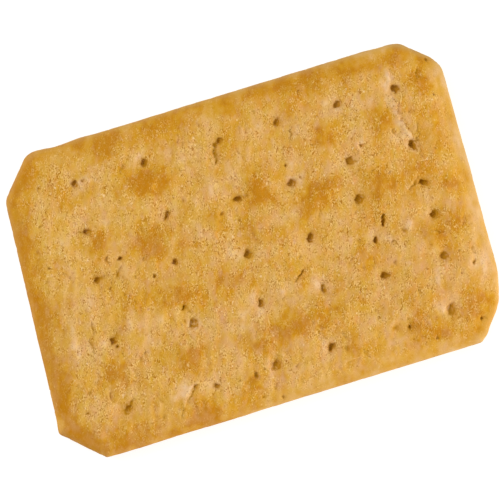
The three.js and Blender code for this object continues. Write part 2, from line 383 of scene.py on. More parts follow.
def spot(x, y, place_x, place_y, along, across, turn=0):
    """A soft round or oval spot: 1 in its middle, falling to nothing beyond its half sizes."""
    lean = math.radians(turn)
    far_along = (x - place_x) * math.cos(lean) + (y - place_y) * math.sin(lean)
    far_across = (y - place_y) * math.cos(lean) - (x - place_x) * math.sin(lean)
    return np.exp(-((far_along / along) ** 2) - (far_across / across) ** 2)


def inward_at(x, y):
    """Distance in from the nearest straight side of the outline, blended where two sides meet."""
    nearness = np.zeros_like(x)
    for (start_x, start_y), (stop_x, stop_y) in zip(outline, outline[1:] + outline[:1]):
        length = math.hypot(stop_x - start_x, stop_y - start_y)
        away = ((stop_x - start_x) * (y - start_y) - (stop_y - start_y) * (x - start_x)) / length
        nearness += np.exp(-away / SIDE_BLENDING)
    return -SIDE_BLENDING * np.log(nearness)


def rising(values, low, run):
    """0 up to a low value, rising to 1 over a run."""
    return np.clip((values - low) / run, 0, 1)


def hollow_at(x, y):
    """How far the sheet is held down: 1 at a hole, falling to nothing beyond its reach."""
    return np.max([spot(x, y, *hole[:2], HOLLOW_REACH, HOLLOW_REACH) for hole in HOLES], axis=0)


def face_height(x, y):
    """Height of the baked face over the oven band, before its crumb."""
    risen = 1 - np.exp(-np.clip(inward_at(x, y) - TOP_ROLL, 0, None) / CROWN_RUN)
    blister = np.max([share * spot(x, y, *place) for *place, share, browning in BLISTERS], axis=0)
    return RIM_HEIGHT + risen * (CROWN + BLISTER_HEIGHT * blister - HOLLOW_DEPTH * hollow_at(x, y))


def skin_places():
    """The skin's points in millimetres."""
    places = np.empty(len(cracker.data.vertices) * 3)
    cracker.data.vertices.foreach_get("co", places)
    return places.reshape(-1, 3) / MM


def shape_skin(places):
    """Moves the skin's points to places in millimetres."""
    cracker.data.vertices.foreach_set("co", (places * MM).ravel())
    cracker.data.update()


# Here x, y and z stay as the points lie on the flat sheet, and places is where they go
places = skin_places()
x, y, z = places.T.copy()
inward = inward_at(x, y)
high_up = rising(z, 0, RIM_HEIGHT)
places[:, 2] += high_up * (face_height(x, y) - RIM_HEIGHT)
for place_x, place_y, reach, along, across in EDGE_SWELLS:
    swell = spot(x, y, place_x, place_y, reach, reach)
    places[:, 0] += along * swell
    places[:, 1] += across * swell
shape_skin(places)


# The pores, tears and lips
# Bubbles burst in the drying face and leave pores, and the face splits in short tears beside some holes.
# Next to a few tears the torn skin stands up in a pale lip.

# Each pore: place, length, width, turn and depth
PORES = (
    (-31.2, 6.3, 0.5, 0.35, 90, 0.5),
    (-32.0, 4.3, 0.9, 0.6, 60, 0.25),
    (-32.4, 2.6, 0.5, 0.4, 0, 0.2),
    (20.1, 8.4, 0.5, 0.4, 0, 0.4),
    (-20.0, 4.6, 0.5, 0.35, 130, 0.8),
    (-15.65, 0.55, 0.6, 0.45, 100, 0.8),
    (-18.55, 1.45, 0.35, 0.35, 0, 0.4),
    (-12.7, -5.7, 0.6, 0.4, 45, 0.7),
    (9.1, 11.1, 0.4, 0.4, 0, 0.6),
    (21.5, 10.5, 0.5, 0.4, 0, 0.5),
    (16.7, -3.65, 0.9, 0.7, 90, 0.3),
    (21.8, -5.35, 0.7, 0.5, 60, 0.4),
    (24.3, -4.1, 0.6, 0.45, 0, 0.4),
    (-32.1, -17.25, 0.3, 0.25, 30, 0.4),
    (-4.8, -19.25, 0.6, 0.4, 80, 0.7),
    (-7.4, -19.35, 0.35, 0.35, 0, 0.4),
    (1.6, -19.7, 0.7, 0.35, 45, 0.35),
    (-1.85, -23.85, 0.6, 0.4, 50, 0.4),
    (-4.8, -22.9, 0.6, 0.4, 0, 0.3),
    (35.3, 20.7, 0.5, 0.45, 0, 0.7),
    (33.2, -12.25, 0.5, 0.35, 80, 0.5),
    (31.75, -21.05, 0.5, 0.4, 70, 0.6),
    (-24.5, -8.5, 0.35, 0.3, 30, 0.9),
    (-22.1, 18.1, 0.4, 0.35, 0, 0.6),
    (10.0, -19.4, 1.1, 0.6, 75, 0.3),
    (18.2, -18.4, 1.2, 0.9, 0, 0.3),
)
# Each tear, from its upper end down: the points that it runs through, how far it slopes to the west
# and to the east, its depth, and the height and width of the lip that stands on its west side
TEARS = (
    (((-23.3, 17.9), (-22.9, 16.9)), 0.15, 0.2, 0.3, 0.0, 0.5),
    (((-15.4, 18.7), (-16.05, 17.6)), 0.3, 0.4, 0.22, 0.1, 0.5),
    (((-20.1, 3.5), (-21.5, 1.8)), 0.3, 0.35, 0.25, 0.08, 0.5),
    (((-22.1, 5.4), (-22.0, 4.3)), 0.15, 0.2, 0.5, 0.0, 0.5),
    (((20.8, 12.9), (20.3, 11.6), (19.9, 10.3)), 0.35, 0.4, 0.16, 0.12, 0.6),
    (((30.3, 9.3), (30.4, 8.2), (30.2, 7.0)), 0.2, 0.25, 0.36, 0.1, 0.4),
    (((-27.3, -4.0), (-27.4, -5.3)), 0.25, 0.3, 0.5, 0.1, 0.5),
    (((-28.2, -6.1), (-28.3, -7.4), (-28.0, -8.6)), 0.15, 0.25, 0.4, 0.15, 0.6),
    (((28.7, 3.4), (27.9, 2.6), (26.9, 1.8)), 0.2, 0.3, 0.35, 0.14, 0.5),
    (((-14.5, -18.0), (-15.4, -18.7), (-15.6, -19.2), (-16.5, -20.0)), 0.2, 0.5, 0.36, 0.2, 0.9),
    (((-0.5, 17.5), (-0.9, 16.6), (-0.9, 15.7), (-1.1, 14.9)), 0.22, 0.5, 0.5, 0.16, 0.6),
    (((21.56, -1.0), (21.35, -1.7), (21.2, -2.35)), 0.15, 0.22, 1.1, 0.15, 0.4),
    (((6.9, -5.6), (6.2, -6.2), (5.5, -6.7)), 0.16, 0.28, 0.6, 0.15, 0.5),
    (((-25.1, 10.5), (-23.9, 10.3)), 0.28, 0.28, 0.35, 0.0, 0.5),
    (((-24.4, 2.6), (-23.2, 2.5)), 0.32, 0.32, 0.3, 0.0, 0.5),
    (((-24.7, -17.2), (-25.4, -18.2)), 0.3, 0.35, 0.4, 0.0, 0.5),
    (((0.6, 8.3), (2.0, 8.2)), 0.28, 0.28, 0.3, 0.0, 0.5),
    (((29.3, 20.4), (29.1, 18.8), (28.5, 16.7), (28.95, 15.2)), 0.12, 0.5, 0.2, 0.3, 1.0),
    (((28.95, 15.2), (28.5, 14.1), (28.9, 12.7), (29.5, 10.0)), 0.12, 0.5, 0.22, 0.3, 1.0),
)
# Each other lip or wrinkle: the points that it runs through, its width and height
LIPS = (
    (((-22.8, 17.8), (-22.5, 17.1)), 0.5, 0.25),
    (((-21.6, 18.5), (-21.4, 18.0)), 0.4, 0.2),
    (((-19.4, 19.6), (-18.9, 17.6)), 0.5, 0.12),
    (((-18.2, 19.2), (-18.0, 17.4)), 0.4, 0.1),
    (((-30.8, -0.8), (-31.2, -8.6)), 0.6, 0.12),
    (((-28.4, -5.6), (-28.5, -8.0)), 0.5, 0.12),
    (((-21.3, -5.4), (-21.9, -7.3)), 0.7, 0.12),
    (((2.8, -5.6), (3.0, -8.2)), 0.35, 0.1),
    (((28.75, 20.7), (28.65, 18.9)), 0.5, 0.22),
    (((28.8, 17.0), (26.9, 16.2)), 1.0, 0.2),
    (((24.9, -4.1), (25.4, -3.4)), 0.4, 0.3),
    (((22.8, 14.2), (22.3, 12.4), (22.0, 10.8)), 0.5, 0.16),
    (((27.6, 16.2), (28.0, 15.3), (28.5, 14.6)), 0.5, 0.22),
    (((-2.9, -18.3), (-2.4, -17.3), (-1.4, -16.9), (-0.4, -17.3)), 0.4, 0.2),
    (((21.0, 11.0), (21.1, 10.0)), 0.3, 0.18),
    (((26.9, -13.2), (26.7, -14.9)), 0.5, 0.15),
    (((26.2, -17.7), (26.1, -18.9)), 0.3, 0.1),
)
# Stray pores and tears are strewn over the face: how many, how far from its middle, and of what sizes
STRAY_SEED = 11
STRAY_PORES = 90
PORE_REACH = (35, 22)
PORE_SIZES = (0.25, 0.5)
PORE_OVAL = 0.7
PORE_SPREAD = 0.6
STRAY_TEARS = 90
TEAR_REACH = (34, 22)
TEAR_LEAN = math.radians(75)
TEAR_SWING = 0.5
TEAR_HALVES = (0.25, 0.8)
TEAR_BOW = 0.15
TEAR_SLOPES = (0.12, 0.3)
TEAR_DEPTHS = (0.1, 0.3)
TEAR_LIP = (0.08, 0.4)
# Low wrinkles, the ragged grain of the face, frayed borders of dents and lips, and funnels round the holes
WRINKLE_HEIGHT = 0.14
WRINKLE_LEAN = math.radians(-20)
RAGGED = 0.26
RAGGED_SIZE = 0.5
FRAY = 0.3
FRAY_SIZE = 0.7
FUNNEL_DEPTH = 0.21
FUNNEL_MARGIN = (0.3, 0.4)
FAR_OFF = 1e3
# Where the lips and wrinkles of the face begin inside the edge, and where its dents do: start and run
INNER = (1.2, 1.5)
DENTED = (0.4, 0.4)


def wander(x, y, size, seed, stretch=(1, 1)):
    """An even noise between about -1 and 1, whose lumps are of one size or stretched along y."""
    steps = zip(x / size / stretch[0], y / size / stretch[1])
    return np.array([mathutils.noise.noise((along, across, seed)) for along, across in steps])


def bell(away, reach):
    """1 at no distance, falling to nothing beyond a reach."""
    return np.exp(-((away / reach) ** 2))


def across_line(x, y, line):
    """Distance from a line through points, negative to the west of a line that runs down."""
    nearest = np.full_like(x, FAR_OFF)
    across = np.full_like(x, FAR_OFF)
    for (start_x, start_y), (stop_x, stop_y) in zip(line, line[1:]):
        run = (stop_x - start_x, stop_y - start_y)
        share = ((x - start_x) * run[0] + (y - start_y) * run[1]) / (run[0] ** 2 + run[1] ** 2)
        share = np.clip(share, 0, 1)
        away = np.hypot(x - start_x - share * run[0], y - start_y - share * run[1])
        east = run[0] * (y - start_y) - run[1] * (x - start_x)
        across = np.where(away < nearest, np.copysign(away, east), across)
        nearest = np.minimum(nearest, away)
    return across


def near_line(x, y, line, reach=2.5):
    """Which points lie near the box round a line."""
    along, across = zip(*line)
    in_x = (x > min(along) - reach) & (x < max(along) + reach)
    return np.nonzero(in_x & (y > min(across) - reach) & (y < max(across) + reach))[0]


scatter = random.Random(STRAY_SEED)
stray_pores = []
for _ in range(STRAY_PORES):
    size = scatter.uniform(*PORE_SIZES)
    place = [scatter.uniform(-reach, reach) for reach in PORE_REACH]
    stray_pores.append((*place, size, size * PORE_OVAL, scatter.uniform(0, 180), size * PORE_OVAL))

stray_tears = []
for _ in range(STRAY_TEARS):
    lean = TEAR_LEAN + scatter.gauss(0, TEAR_SWING)
    half = scatter.uniform(*TEAR_HALVES)
    middle = [scatter.uniform(-reach, reach) for reach in TEAR_REACH]
    bowed = [part + scatter.uniform(-TEAR_BOW, TEAR_BOW) for part in middle]
    upper_end = (middle[0] + half * math.cos(lean), middle[1] + half * math.sin(lean))
    lower_end = (middle[0] - half * math.cos(lean), middle[1] - half * math.sin(lean))
    depth = scatter.uniform(*TEAR_DEPTHS)
    stray_tears.append(((upper_end, bowed, lower_end), *TEAR_SLOPES, depth, *TEAR_LIP))


def frayed(x, y):
    """Places moved to and fro, so that what is drawn at them gets a ragged edge."""
    return (
        x + FRAY * wander(x, y, FRAY_SIZE, seed=41.5),
        y + FRAY * wander(x, y, FRAY_SIZE, seed=43.5),
    )


def dent_at(x, y):
    """How deep pores, tears and the funnels round the holes cut into the face."""
    x, y = frayed(x, y)
    dent = np.zeros_like(x)
    for place_x, place_y, length, width, turn, _ in HOLES:
        along = FUNNEL_MARGIN[0] + length / 2
        across = FUNNEL_MARGIN[1] + width / 2
        dent = np.maximum(dent, FUNNEL_DEPTH * spot(x, y, place_x, place_y, along, across, turn))
    for place_x, place_y, length, width, turn, depth in [*PORES, *stray_pores]:
        near = np.nonzero(np.hypot(x - place_x, y - place_y) < 2 * length)[0]
        half_sizes = (PORE_SPREAD * length, PORE_SPREAD * width)
        cut = depth * spot(x[near], y[near], place_x, place_y, *half_sizes, turn)
        dent[near] = np.maximum(dent[near], cut)
    unbroken = np.clip(0.85 + 0.6 * wander(x, y, 0.7, seed=9.5), 0.3, 1)
    for line, west, east, depth, *_ in [*TEARS, *stray_tears]:
        near = near_line(x, y, line)
        across = across_line(x[near], y[near], line)
        cut = depth * unbroken[near] * bell(across, np.where(across < 0, west, east))
        dent[near] = np.maximum(dent[near], cut)
    return dent


def lip_at(x, y):
    """How high torn skin stands up beside the tears."""
    x, y = frayed(x, y)
    lip = np.zeros_like(x)
    for line, width, height in LIPS:
        near = near_line(x, y, line)
        across = across_line(x[near], y[near], line)
        lip[near] = np.maximum(lip[near], height * bell(across, width))
    for line, *_, height, width in [*TEARS, *stray_tears]:
        near = near_line(x, y, line)
        across = across_line(x[near], y[near], line)
        lip[near] = np.maximum(lip[near], height * (across < 0) * bell(across, width))
    uneven = np.clip(0.75 + 0.8 * wander(x, y, 0.8, seed=33.5), 0.2, 1.3)
    return lip * uneven


def wrinkle_at(x, y):
    """Low folds, mostly on the west half, that run along the way that the sheet was rolled."""
    along = y * math.cos(WRINKLE_LEAN) - x * math.sin(WRINKLE_LEAN)
    across = x * math.cos(WRINKLE_LEAN) + y * math.sin(WRINKLE_LEAN)
    broad = wander(across, along, 1.0, seed=3.5, stretch=(1, 4))
    narrow = wander(across, along, 0.6, seed=13.5, stretch=(1, 3))
    westward = np.clip(0.7 - x / 50, 0.4, 1.2)
    return (broad + 0.5 * narrow) * westward


inner = rising(inward, *INNER)
lift = inner * (lip_at(x, y) + WRINKLE_HEIGHT * wrinkle_at(x, y))
lift -= rising(inward, *DENTED) * dent_at(x, y)
places[:, 2] += high_up * lift
places[:, 0] += high_up * inner * RAGGED * wander(x, y, RAGGED_SIZE, seed=21.5)
places[:, 1] += high_up * inner * RAGGED * wander(x, y, RAGGED_SIZE, seed=27.5)
shape_skin(places)


# The crumb
# The face is not smooth: dry flour, bran and small bubbles leave low lumps and a fine grain.
# The rim is smoother, because the cutter pressed it, and the underside lay on the band.
# The cut side shows the thin layers that the rolled dough parts into.

SKIN_TRIANGLES = 190000
LAYER_DEPTH = 0.3
LAYER_REACH = 0.5
LAYER_FOOT = 0.6
LAYER_TOP = 3.6
LAYER_FADE = 0.8
LAYER_LEAST = 0.01
# The lumps that make the layers: size along the side, thickness and share
LAYER_LUMPS = (
    (1.2, 0.55, 1.0),
    (0.5, 0.4, 0.6),
)
SLOPE_STEP = 0.1
# Where the crumb begins over the oven band, the run over which it grows, and its share on the rim
CRUMB_START = 0.4
CRUMB_RUN = 2.0
RIM_SHARE = 0.3
WEIGHT_STEP = 0.05
# Each grain of the crumb: name, size and height
GRAINS = (
    ("lumps", 3.0, 0.28),
    ("swells", 1.1, 0.06),
    ("crumb", 0.45, 0.07),
)


def near_edge(inward, reach):
    """1 at the cut edge, falling to nothing inward over a reach."""
    return bell(np.clip(inward, 0, None), reach)


def layer_at(x, y, z):
    """The layers in the cut side: flat lumps and gaps that fade out inward, at the foot and at the top."""
    cut_side = near_edge(inward_at(x, y), LAYER_REACH)
    cut_side *= rising(z, 0, LAYER_FOOT) * np.clip((LAYER_TOP - z) / LAYER_FADE, 0, 1)
    layer = np.zeros_like(x)
    for place in np.nonzero(cut_side > LAYER_LEAST)[0]:
        for size, thickness, share in LAYER_LUMPS:
            lump = (x[place] / size, y[place] / size, z[place] / thickness)
            layer[place] += share * mathutils.noise.noise(lump)
    return cut_side * layer


gaps = LAYER_DEPTH * np.minimum(layer_at(*places.T), 0)
places[:, 0] += gaps * (inward - inward_at(x + SLOPE_STEP, y)) / SLOPE_STEP
places[:, 1] += gaps * (inward - inward_at(x, y + SLOPE_STEP)) / SLOPE_STEP
shape_skin(places)

face = cracker.vertex_groups.new(name="face")
weight = rising(z, CRUMB_START, CRUMB_RUN) * (RIM_SHARE + (1 - RIM_SHARE) * inner)
for level in np.arange(WEIGHT_STEP, 1 + WEIGHT_STEP / 2, WEIGHT_STEP):
    members = np.nonzero(np.abs(weight - level) <= WEIGHT_STEP / 2)[0]
    face.add(members.tolist(), level, "REPLACE")
for name, size, height in GRAINS:
    cloud = bpy.data.textures.new(name, "CLOUDS")
    cloud.noise_scale = size * MM
    cloud.noise_depth = 1
    grain = cracker.modifiers.new(name, "DISPLACE")
    grain.texture = cloud
    grain.texture_coords = "LOCAL"
    grain.strength = height * MM
    grain.mid_level = 0.5
    grain.vertex_group = "face"
    bpy.ops.object.modifier_apply(modifier=name)
    bpy.data.textures.remove(cloud)
cracker.vertex_groups.clear()

thinning = cracker.modifiers.new("thinning", "DECIMATE")
triangles = sum(len(polygon.vertices) - 2 for polygon in cracker.data.polygons)
thinning.ratio = min(1, SKIN_TRIANGLES / triangles)
bpy.ops.object.modifier_apply(modifier="thinning")
bpy.ops.object.shade_smooth()


# The crust
# Dry baked wheat crust: golden tan with a fine cream and olive grain, orange-brown on the blisters,
# paler where the sheet was held down, and smooth and more golden round the rim.
# Painted light and shade: the rim is paler to the east, a highlight sits beside each hole, and shade is
# painted on the very edge, in the layers' gaps, dents, steep walls and holes.

# Each patch that dried pale and floury: place, half sizes along and across, turn, strength
PALE_PATCHES = (
    (18.6, -20.4, 1.8, 1.0, 0, 0.9),
    (13.5, 1.5, 3.5, 2.5, 0, 0.45),
    (4.5, 19.5, 3.5, 3.0, 0, 0.35),
    (12.5, -5.0, 4.0, 2.5, 0, 0.35),
    (-28.0, -4.0, 2.2, 3.2, 0, 0.6),
    (-19.4, -6.4, 2.8, 1.8, 0, 1.1),
    (-30.6, -5.0, 0.9, 3.2, 0, 0.8),
    (-19.4, 13.6, 1.8, 2.6, 0, 0.5),
    (-27.0, 13.0, 2.5, 2.0, 0, 0.4),
    (-0.8, 11.8, 3.2, 1.6, 20, 0.9),
    (-5.5, 15.5, 1.5, 2.5, 0, 0.5),
    (10.8, 9.5, 1.6, 2.4, 0, 0.8),
    (28.1, 15.3, 1.3, 1.1, 0, 1.8),
    (28.5, 19.7, 0.8, 1.2, 0, 1.2),
    (28.2, 14.2, 1.0, 1.0, 0, 1.2),
    (28.8, 12.4, 0.7, 1.6, 15, 0.9),
    (27.6, 9.6, 1.0, 1.1, 0, 0.4),
    (-23.2, -4.4, 1.5, 1.6, 0, 0.8),
    (-17.2, -4.8, 1.2, 1.2, 0, 0.6),
    (-29.4, -12.0, 1.2, 2.0, 0, 0.5),
    (2.6, 12.2, 1.8, 1.4, 0, 0.6),
    (18.6, 16.6, 2.0, 1.7, 0, 0.9),
    (21.8, 11.0, 1.2, 2.2, 0, 0.6),
    (7.8, 16.5, 1.3, 2.4, 0, 0.5),
    (-7.6, 1.2, 1.3, 2.2, 0, 0.7),
    (-2.6, -0.5, 1.2, 1.4, 0, 1.6),
    (-3.4, -9.8, 2.2, 1.5, 0, 1.2),
    (-20.9, 17.8, 1.6, 1.2, 0, 0.8),
    (8.0, 1.2, 1.4, 1.6, 0, 0.6),
    (12.5, -3.0, 4.0, 2.4, 0, 0.6),
    (-19.5, 1.5, 2.2, 1.5, 0, 0.5),
    (-10.0, -9.0, 2.2, 2.0, 0, 0.6),
    (1.8, -10.2, 1.8, 1.3, 0, 0.5),
    (13.0, -14.5, 1.6, 3.0, 0, 0.5),
    (22.6, -10.3, 1.6, 2.2, 0, 0.7),
    (34.0, -13.0, 1.6, 3.4, 0, 1.1),
    (1.6, -20.8, 1.9, 2.4, 0, 1.2),
    (-32.8, -17.2, 1.4, 1.4, 0, 1.0),
    (-16.7, -17.9, 2.0, 1.1, 45, 1.8),
    (29.0, 0.2, 1.6, 1.3, 0, 0.8),
    (15.5, -21.6, 3.6, 1.4, 0, 0.3),
    (25.2, -4.0, 1.2, 1.5, 0, 0.6),
    (27.0, -12.8, 1.0, 2.0, 0, 0.6),
    (4.6, -7.0, 1.4, 1.6, 0, 0.4),
    (0.9, -18.2, 1.0, 1.4, 0, 0.7),
    (-26.8, -19.8, 1.4, 1.2, 0, 0.6),
    (8.0, 2.4, 1.3, 1.3, 0, 0.6),
)
PATCH_WANDER = 0.75
# The browning reaches a little beyond each blister
BROWNING_REACH = 1.12
BROWNED = [
    (place_x, place_y, along * BROWNING_REACH, across * BROWNING_REACH, turn, browning)
    for place_x, place_y, along, across, turn, _, browning in BLISTERS
]
# A painted highlight on the upper-left side of each hole: its offset from the hole and its reach
HIGHLIGHT_OFFSET = (-0.5, 0.7)
HIGHLIGHT_REACH = 1.2
# The height at which the side turns into the face, and the run over which it does
UPPER = (1.5, 1.5)
RIM_FADE = 2.8
RING_FADE = 5.5
EDGE_FADE = 0.6
# How far inside the edge dents, and then holes, begin
DENTS_INSIDE = 0.5
HOLES_INSIDE = 1.8
# The upward part of a point's normal below which it counts as steep, and the run to a full slope
STEEP_FROM = 0.85
STEEP_RUN = 0.6


def astray(part, seed):
    """One part of the points' places, moved to and fro so that patches get wandering borders."""
    return part + PATCH_WANDER * (wander(x, y, 2.6, seed) + wander(x, y, 1.0, seed + 1))


def hole_highlight_at(x, y):
    """How near the points are to the painted highlight beside a hole."""
    highlight_places = [(hole[0] + HIGHLIGHT_OFFSET[0], hole[1] + HIGHLIGHT_OFFSET[1]) for hole in HOLES]
    return np.max([spot(x, y, *highlight_place, HIGHLIGHT_REACH, HIGHLIGHT_REACH) for highlight_place in highlight_places], axis=0)


x, y, z = skin_places().T.copy()
inward = inward_at(x, y)
astray_x = astray(x, 1.5)
astray_y = astray(y, 7.5)
upper = rising(z, *UPPER)
brown = np.max([browning * spot(astray_x, astray_y, *place) for *place, browning in BROWNED], axis=0)
brown = 1 - (1 - brown) ** 1.3
pale = np.max([strength * spot(astray_x, astray_y, *place) for *place, strength in PALE_PATCHES], axis=0)
# Paler where the sheet was held down, plus a painted highlight on the upper-left side of each hole
pale = pale + 0.25 * hollow_at(astray_x, astray_y) + 0.5 * hole_highlight_at(x, y)
facing = np.empty(len(z) * 3)
cracker.data.vertex_normals.foreach_get("vector", facing)

# What the material reads at each point of the skin
notes = {
    "brown": upper * np.clip(brown * (1 + 0.5 * wander(x, y, 1.3, seed=4.5)), 0, 1),
    "pale": upper * np.clip(pale, 0, 1.8),
    "lip": upper * np.clip(6 * lip_at(x, y), 0, 1),
    "below": upper * np.clip(face_height(x, y) - z, 0, None) * (inward > HOLES_INSIDE),
    "steep": np.clip((STEEP_FROM - facing[2::3]) / STEEP_RUN, 0, 1) * upper * (inward > HOLES_INSIDE),
    "dent": upper * dent_at(x, y) * (inward > DENTS_INSIDE),
    "rim": near_edge(inward, RIM_FADE),
    "ring": near_edge(inward, RING_FADE),
    "edge": near_edge(inward, EDGE_FADE),
    "wrinkle": upper * wrinkle_at(x, y),
    "layer": layer_at(x, y, z),
}
for name, values in notes.items():
    noted = cracker.data.attributes.new(name, "FLOAT", "POINT")
    noted.data.foreach_set("value", values.astype(np.float32))


class Wire:
    """An output socket of the crust's nodes. Arithmetic on it adds Math nodes."""

    def __init__(self, tree, socket=None):
        self.tree = tree
        self.socket = socket

    def node(self, kind, settings=None, inputs=None, output=0):
        """Adds a node: its settings are set first, then its sockets are set or linked."""
        added = self.tree.nodes.new(kind)
        for name, value in (settings or {}).items():
            if name == "stops":
                ramp = added.color_ramp.elements
                for place, (position, colour) in enumerate(value):
                    stop = ramp[place] if place < len(ramp) else ramp.new(position)
                    stop.position = position
                    stop.color = colour
            else:
                setattr(added, name, value)
        for name, value in (inputs or {}).items():
            if isinstance(value, Wire):
                self.tree.links.new(value.socket, added.inputs[name])
            else:
                added.inputs[name].default_value = value
        return Wire(self.tree, None if output is None else added.outputs[output])

    def maths(self, operation, first, second=0.0):
        """Adds a Math node."""
        return self.node("ShaderNodeMath", {"operation": operation}, {0: first, 1: second})

    def __add__(self, other):
        return self.maths("ADD", self, other)

    __radd__ = __add__

    def __mul__(self, other):
        return self.maths("MULTIPLY", self, other)

    __rmul__ = __mul__

    def __sub__(self, other):
        return self.maths("SUBTRACT", self, other)

    def __rsub__(self, other):
        return self.maths("SUBTRACT", other, self)

    def ramped(self, low, high):
        """0 below low, 1 above high, eased between them."""
        return self.node(
            "ShaderNodeMapRange",
            {"interpolation_type": "SMOOTHSTEP"},
            {"Value": self, "From Min": low, "From Max": high},
        )


def linear(red, green, blue):
    """A colour as it is seen on screen, 0 to 255, as the light it stands for."""
    parts = [part / 255 for part in (red, green, blue)]
    return (*[part / 12.92 if part <= 0.04045 else ((part + 0.055) / 1.055) ** 2.4 for part in parts], 1)


# The colours of the crust as they are seen on screen: what it bakes through, from brown to cream
BAKED = (
    (0.0, (187, 121, 12)),
    (0.2, (201, 140, 25)),
    (0.5, (213, 161, 73)),
    (0.75, (221, 174, 110)),
    (1.0, (233, 195, 149)),
)
# Its tints: pairs for the two ways in which it varies, then specks, then painted shade on the very edge,
# in the gaps between the layers (whose lumps are paler crumb), and in the dents, steep walls and holes
ROSY = (216, 164, 116)
OLIVE_YELLOW = (210, 160, 42)
ORANGE = (222, 144, 52)
STRAW = (214, 180, 92)
KHAKI = (196, 150, 88)
HONEY = (230, 170, 56)
CREAM_GRAIN = (234, 190, 114)
BROWN_GRAIN = (163, 101, 3)
FLOUR_SPECK = (242, 208, 154)
BRAN_SPECK = (156, 104, 14)
ROSY_SPECK = (232, 188, 150)
EDGE_SHADE_GREY = (188, 158, 110)
LAYER_GAP_SHADE = (150, 104, 44)
LAYER_CRUMB = (226, 188, 126)
DENT_SHADE = (162, 112, 6)
STEEP_SHADE_BROWN = (160, 114, 10)
HOLE_SHADE_BROWN = (178, 122, 3)
# How the dough was rolled: its turn, how far markings are drawn out along it, and below which size
ROLLED_TURN = -math.radians(17)
ROLLED_STRETCH = 1.7
ROLLED_BELOW = 2
# What stretches a noise to between about -1 and 1
NOISE_SPREAD = 9
# About half the face, over which its colour shifts to the east and to the north
HALF_LENGTH = 35
HALF_WIDTH = 24
# The heights between which the look of the underside gives way to that of the side
UNDERSIDE_FROM = 0.2
UNDERSIDE_TO = 1.2

crust = bpy.data.materials.new("baked_crust")
crust.use_nodes = True
crust.node_tree.nodes.clear()
start = Wire(crust.node_tree)
here = start.node("ShaderNodeTexCoord", output="Object")
rolled = start.node(
    "ShaderNodeMapping",
    {"vector_type": "TEXTURE"},
    {"Vector": here, "Rotation": (0, 0, ROLLED_TURN), "Scale": (1, ROLLED_STRETCH, 1)},
)


def kept(name):
    """What was noted at each point of the skin under a name."""
    return start.node("ShaderNodeAttribute", {"attribute_name": name}, output="Fac")


def parted(wire, part):
    """One part of a vector: X, Y or Z."""
    return start.node("ShaderNodeSeparateXYZ", inputs={0: wire}, output=part)


def noise(size, detail=1.0, roughness=0.5, seed=0.0):
    """An even noise, mostly between -1 and 1, with lumps of a size in millimetres."""
    clouds = start.node(
        "ShaderNodeTexNoise",
        {"noise_dimensions": "4D"},
        {
            "Vector": rolled if size < ROLLED_BELOW else here,
            "W": seed,
            "Scale": 1 / (size * MM),
            "Detail": detail,
            "Roughness": roughness,
        },
    )
    return (clouds - 0.5) * NOISE_SPREAD


def blend(amount, under, over):
    """Lays a colour over the one under it, as strong as an amount from 0 to 1."""
    return start.node(
        "ShaderNodeMix",
        {"data_type": "RGBA", "clamp_factor": True},
        {0: amount, 6: under, 7: linear(*over)},
        output=2,
    )


east = parted(here, "X") * (1 / (HALF_LENGTH * MM))
north = parted(here, "Y") * (1 / (HALF_WIDTH * MM))
underside = 1 - parted(here, "Z").ramped(UNDERSIDE_FROM * MM, UNDERSIDE_TO * MM)

# How strong the grain is: uneven on the face, faint on the rim, the browned blisters and the underside
busy = (noise(2.4) * 0.8 + noise(6.0) * 0.7).ramped(-1.3, 1.3) * 0.9 + 0.55
busy = busy * (1 - kept("rim") * 0.8) * (1 - kept("brown") * 0.45) * (1 - underside * 0.5)
speckled = busy * (1 - kept("brown") * 0.3)

# How far the crust is from brown, at 0, to cream, at 1
tone = 0.47 + noise(7.0) * 0.07 + noise(3.0) * 0.11 + noise(1.4) * 0.065 + noise(0.7) * 0.03
# Paler on the pale patches and held-down hollows, and on the painted highlights beside the holes
tone = tone + kept("wrinkle") * 0.14 - kept("brown") * 0.7 + kept("pale") * 0.36 + kept("lip") * 0.3
tone = tone - underside * (0.2 + noise(5.0, seed=9) * 0.12)
# Round the rim the crust is more golden, and a wider ring a little more golden; the rim is paler to the
# east and a little darker to the north, which is painted light from the lower right
tone = tone + kept("rim") * (east * 0.3 - north * 0.03 - 0.09) - kept("ring") * 0.08
colour = start.node(
    "ShaderNodeValToRGB",
    {"stops": [(place, linear(*shade)) for place, shade in BAKED]},
    {0: tone},
)

pink = noise(0.8, seed=1) * 0.65 + noise(1.6, seed=1) * 0.8 + noise(3.6, seed=1) * 0.5
pink = pink * (1 - kept("brown") * 0.9) * (1 - kept("rim") * 0.6) - north * 0.35
warm = (noise(0.7, seed=2) * 0.6 + noise(1.8, seed=2) * 0.7) * busy
warm = warm + east * (0.7 - kept("rim") * 0.5)
khaki = (noise(6.0, seed=10) * 0.7 + noise(2.6, seed=10) * 0.6) * (1 - kept("brown") * 0.9)
fine = noise(0.17, 2, 0.85) * (noise(0.5, seed=3) * 0.6 + 0.75) * speckled
flour = noise(0.35, seed=4).ramped(1.5, 2.4) * speckled
bran = noise(0.35, seed=5).ramped(1.5, 2.4) * speckled
rosy_flour = noise(0.9, seed=6).ramped(1.2, 2.4) * speckled
hole = kept("below") * (1 + noise(0.4, seed=7) * 0.35 + noise(0.8, seed=7) * 0.25)

